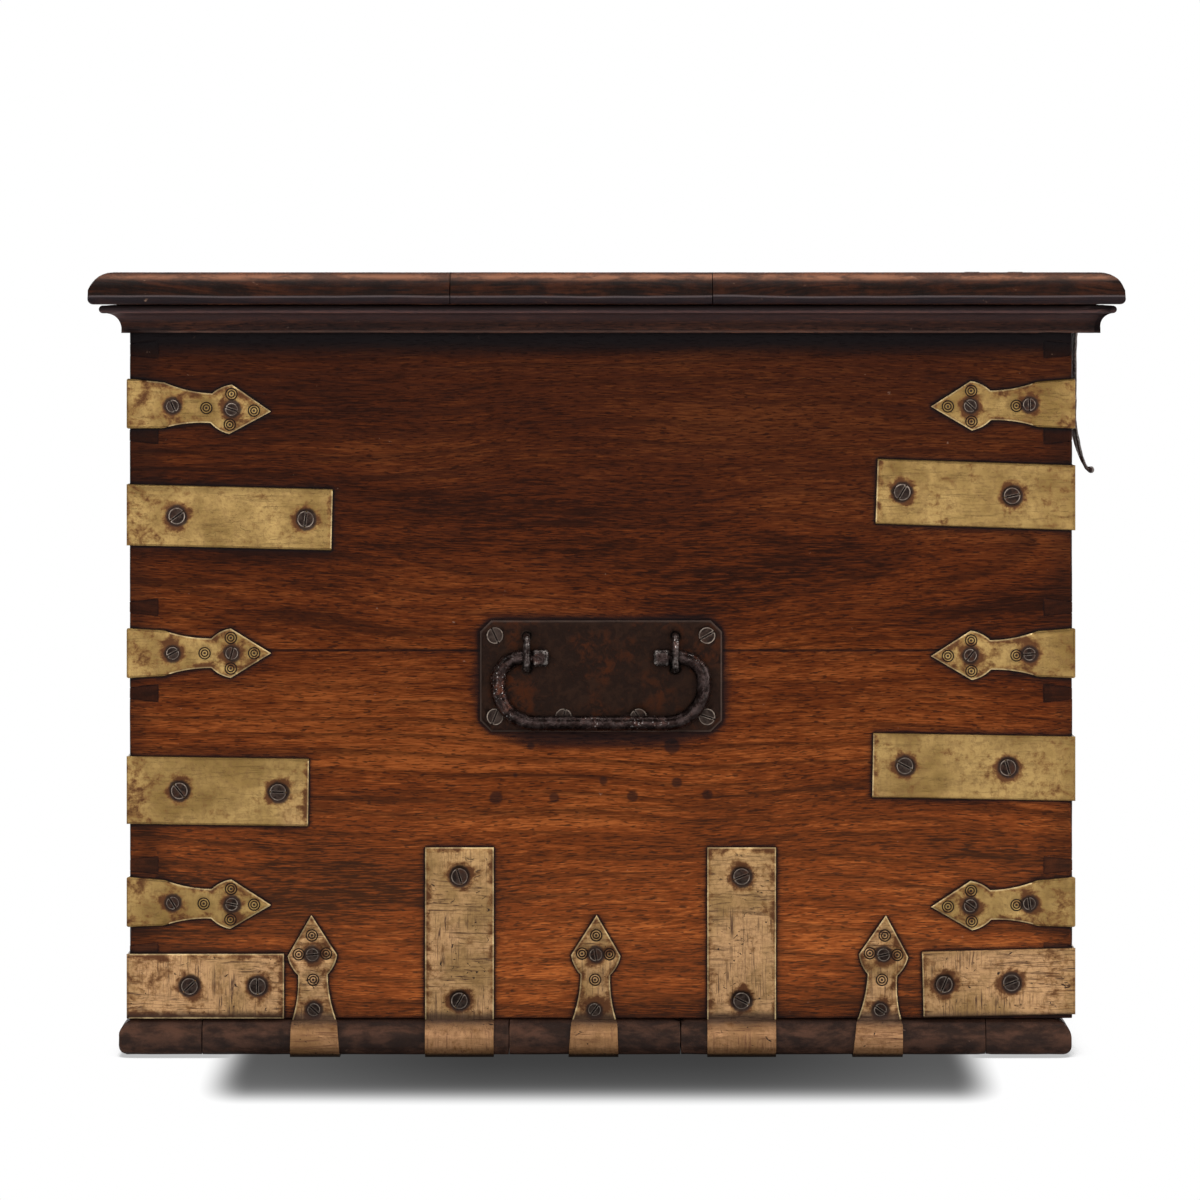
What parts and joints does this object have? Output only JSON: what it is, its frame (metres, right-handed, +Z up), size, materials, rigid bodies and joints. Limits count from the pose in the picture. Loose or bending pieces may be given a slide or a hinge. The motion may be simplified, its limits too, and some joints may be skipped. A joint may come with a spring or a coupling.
{
  "type": "dowry chest",
  "caption": "Low dovetailed wooden dowry chest (damchiya) with a lift lid, cove moulding, brass corner straps, end drop handles and a front hasp.",
  "frame": {"origin": "middle of the underside of everything, on the floor", "axes": "+X along the length, the front faces -Y, +Z up"},
  "size_m": [1.056, 0.6564, 0.4869],
  "materials": {
    "teak": "old waxed reddish brown teak",
    "dark_wood": "dark worn wax",
    "lid_wood": "dark waxed teak",
    "brass": "aged, with brown stains",
    "iron": "hand forged, worn brown black",
    "screw_iron": "slotted heads, worn"
  },
  "bodies": {
    "chest": {"back_foot_leaf_straps": "brass", "back_foot_plain_straps": "brass", "back_left_leaf_straps": "brass", "back_left_plain_straps": "brass", "back_lower_board": "teak", "back_right_leaf_straps": "brass", "back_right_plain_straps": "brass", "back_screws": "screw_iron", "back_upper_board": "teak", "bottom_plank_1": "dark_wood", "bottom_plank_2": "dark_wood", "bottom_plank_3": "dark_wood", "bottom_plank_4": "dark_wood", "bottom_plank_5": "dark_wood", "cornice_back": "dark_wood", "cornice_front": "dark_wood", "cornice_left": "dark_wood", "cornice_right": "dark_wood", "front_foot_leaf_straps": "brass", "front_foot_plain_straps": "brass", "front_left_leaf_straps": "brass", "front_left_plain_straps": "brass", "front_lower_board": "teak", "front_right_leaf_straps": "brass", "front_right_plain_straps": "brass", "front_screws": "screw_iron", "front_upper_board": "teak", "hasp_staple": "iron", "hasp_staple_plate": "iron", "left_end_lower_board": "teak", "left_end_upper_board": "teak", "left_foot_leaf_straps": "brass", "left_foot_plain_straps": "brass", "left_handle_plate": "iron", "left_handle_staples": "iron", "left_hinge_body_leaf": "iron", "left_hinge_pin": "iron", "left_screws": "screw_iron", "right_end_lower_board": "teak", "right_end_upper_board": "teak", "right_foot_leaf_straps": "brass", "right_foot_plain_straps": "brass", "right_handle_plate": "iron", "right_handle_staples": "iron", "right_hinge_body_leaf": "iron", "right_hinge_pin": "iron", "right_screws": "screw_iron"},
    "lid": {"hasp_lid_strap": "iron", "hasp_pin": "iron", "left_hinge_lid_leaf": "iron", "lid_battens": "teak", "lid_plank_back": "lid_wood", "lid_plank_front": "lid_wood", "lid_plank_middle": "lid_wood", "lid_screws": "screw_iron", "right_hinge_lid_leaf": "iron"},
    "hasp": {"hasp": "iron"},
    "left_bail": {"left_bail": "iron"},
    "right_bail": {"right_bail": "iron"}
  },
  "joints": [
    {"name": "lid_hinge", "type": "hinge", "parent": "chest", "child": "lid", "pos_m": [0, 0.31885, 0.4623], "axis": [-1, 0, 0], "range_deg": [0, 100]},
    {"name": "hasp_hinge", "type": "hinge", "parent": "lid", "child": "hasp", "pos_m": [0, -0.31605, 0.4726], "axis": [-1, 0, 0], "range_deg": [-17, 170]},
    {"name": "left_bail_hinge", "type": "hinge", "parent": "chest", "child": "left_bail", "pos_m": [-0.5093, 0.01175, 0.24806], "axis": [0, 1, 0], "range_deg": [0, 175]},
    {"name": "right_bail_hinge", "type": "hinge", "parent": "chest", "child": "right_bail", "pos_m": [0.5093, 0.01175, 0.24806], "axis": [0, -1, 0], "range_deg": [0, 175]}
  ]
}
